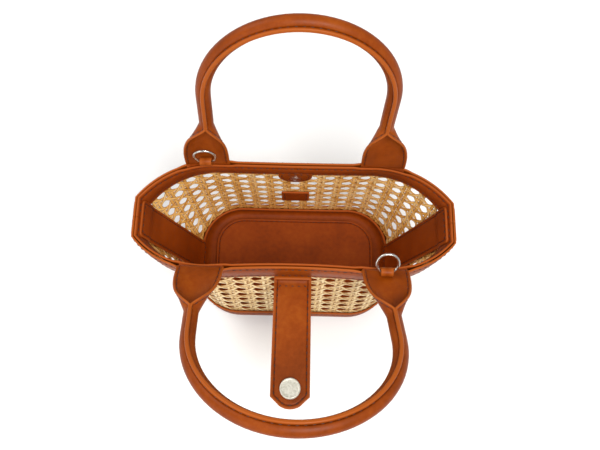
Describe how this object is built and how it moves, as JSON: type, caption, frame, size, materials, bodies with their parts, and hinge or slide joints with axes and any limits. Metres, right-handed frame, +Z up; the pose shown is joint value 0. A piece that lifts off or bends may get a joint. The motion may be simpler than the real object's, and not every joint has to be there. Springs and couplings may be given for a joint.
{
  "type": "basket box bag",
  "caption": "Small flared cane basket bag with leather base, rim bands, rolled handles, front strap with magnetic cap and carrying rings.",
  "frame": {"origin": "middle of the underside of the base", "axes": "+Z up, +X to the right along the rim, -Y to the front, the closure strap's side"},
  "size_m": [0.2242, 0.2063, 0.2461],
  "materials": {
    "leather": "semi-gloss tan leather",
    "cane": "woven natural cane",
    "metal": "nickel plated",
    "cord_core": "cotton cord",
    "board": "fibre board",
    "magnet": "magnet disc"
  },
  "bodies": {
    "bag": {"base_cover": "leather", "base_stiffener": "board", "base_lining": "leather", "insert_cover": "leather", "insert_board": "board", "cane_panel_front": "cane", "cane_panel_rear": "cane", "handle_tail_front_left": "leather", "handle_tail_front_right": "leather", "handle_tail_rear_left": "leather", "handle_tail_rear_right": "leather", "strap_tail": "leather", "rim_band_outer_front": "leather", "rim_band_outer_rear": "leather", "rim_band_inner_front": "leather", "rim_band_inner_rear": "leather", "side_strip_outer_left": "leather", "side_strip_outer_right": "leather", "side_strip_inner_left": "leather", "side_strip_inner_right": "leather", "closure_patch_outer": "leather", "closure_patch_inner": "leather", "rear_cap": "metal", "rear_magnet": "magnet", "rear_washer": "metal", "label_patch": "leather"},
    "front_handle": {"handle_front": "leather", "handle_core_front": "cord_core", "ring_loop_right": "leather"},
    "rear_handle": {"handle_rear": "leather", "handle_core_rear": "cord_core", "ring_loop_left": "leather"},
    "closure_strap": {"strap_top": "leather", "strap_lining": "leather", "strap_washer": "metal", "strap_cap": "metal", "strap_magnet": "magnet"},
    "left_ring": {"ring_left": "metal"},
    "right_ring": {"ring_right": "metal"}
  },
  "joints": [
    {"name": "front_handle_swing", "type": "hinge", "parent": "bag", "child": "front_handle", "pos_m": [0, -0.0367, 0.12619], "axis": [1, 0, 0], "range_deg": [-69, 37]},
    {"name": "rear_handle_swing", "type": "hinge", "parent": "bag", "child": "rear_handle", "pos_m": [0, 0.0367, 0.12619], "axis": [-1, 0, 0], "range_deg": [-27, 79]},
    {"name": "strap_lift", "type": "hinge", "parent": "bag", "child": "closure_strap", "pos_m": [0, -0.0409, 0.1088], "axis": [1, 0, 0], "range_deg": [-82, 92]},
    {"name": "left_ring_swing", "type": "hinge", "parent": "rear_handle", "child": "left_ring", "pos_m": [-0.06, 0.03406, 0.13336], "axis": [1, 0, 0], "range_deg": [0, 115]},
    {"name": "right_ring_swing", "type": "hinge", "parent": "front_handle", "child": "right_ring", "pos_m": [0.06, -0.03954, 0.13328], "axis": [-1, 0, 0], "range_deg": [-91, 25]}
  ]
}
